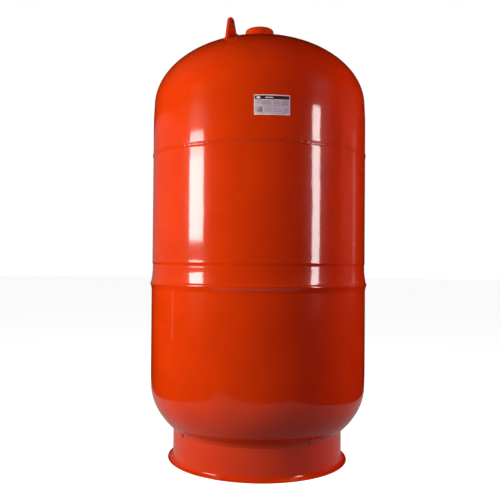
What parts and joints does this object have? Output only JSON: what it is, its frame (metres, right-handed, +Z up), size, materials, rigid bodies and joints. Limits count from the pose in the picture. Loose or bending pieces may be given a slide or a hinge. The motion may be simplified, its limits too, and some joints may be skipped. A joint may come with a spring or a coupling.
{
  "type": "expansion vessel",
  "caption": "Floor-standing heating expansion vessel: domed steel tank on a foot ring, with lifting lugs, a capped gas valve on top and a rear water socket.",
  "frame": {"origin": "on the vessel's axis at floor level, under the centre of the foot ring", "axes": "+Z up along the vessel's axis; the front, with the data label, faces -Y; the water socket faces +Y; +X to the right seen from the front"},
  "size_m": [0.7604, 0.7604, 1.513],
  "materials": {
    "red_paint": "gloss",
    "cover_plastic": "gloss",
    "black_rubber": "matte",
    "brass": "satin",
    "bare_steel": "satin",
    "black_plastic": "matte",
    "yellow_plastic": "satin",
    "label_film": "satin"
  },
  "bodies": {
    "vessel": {"upper_head": "red_paint", "upper_shell": "red_paint", "lower_shell": "red_paint", "upper_seam_weld": "red_paint", "belly_seam_weld": "red_paint", "diaphragm_clamp_ring": "bare_steel", "foot_ring": "red_paint", "foot_weld_1": "red_paint", "foot_weld_2": "red_paint", "foot_weld_3": "red_paint", "foot_weld_4": "red_paint", "lifting_lug_1": "red_paint", "lug_weld_1": "red_paint", "lifting_lug_2": "red_paint", "lug_weld_2": "red_paint", "valve_neck": "red_paint", "valve_neck_weld": "red_paint", "valve_socket": "red_paint", "valve_socket_weld": "red_paint", "valve_seal": "black_rubber", "valve_body": "brass", "valve_core_barrel": "brass", "water_socket": "red_paint", "water_socket_weld": "red_paint", "port_guard": "bare_steel", "data_label": "label_film"},
    "cover": {"valve_cover": "cover_plastic"},
    "cap": {"dust_cap": "black_plastic", "dust_cap_seal": "black_rubber"},
    "valve_pin": {"valve_core_pin": "brass", "valve_core_spring": "bare_steel"},
    "plug": {"transit_plug": "yellow_plastic", "transit_plug_seal": "black_rubber"},
    "membrane": {"diaphragm": "black_rubber"}
  },
  "joints": [
    {"name": "cover_lift", "type": "slide", "parent": "vessel", "child": "cover", "axis": [0, 0, 1], "range_m": [0, 0.06]},
    {"name": "cap_lift", "type": "slide", "parent": "vessel", "child": "cap", "axis": [0, 0, 1], "range_m": [0, 0.009]},
    {"name": "valve_press", "type": "slide", "parent": "vessel", "child": "valve_pin", "axis": [0, 0, -1], "range_m": [0, 0.0015], "stiffness_N_per_m": 1500, "springref_m": -0.001, "deforming": ["valve_core_spring"]},
    {"name": "plug_pull", "type": "slide", "parent": "vessel", "child": "plug", "axis": [0, 1, 0], "range_m": [0, 0.03]},
    {"name": "diaphragm_rise", "type": "slide", "parent": "vessel", "child": "membrane", "axis": [0, 0, 1], "range_m": [0, 0.45], "deforming": ["diaphragm"]}
  ]
}
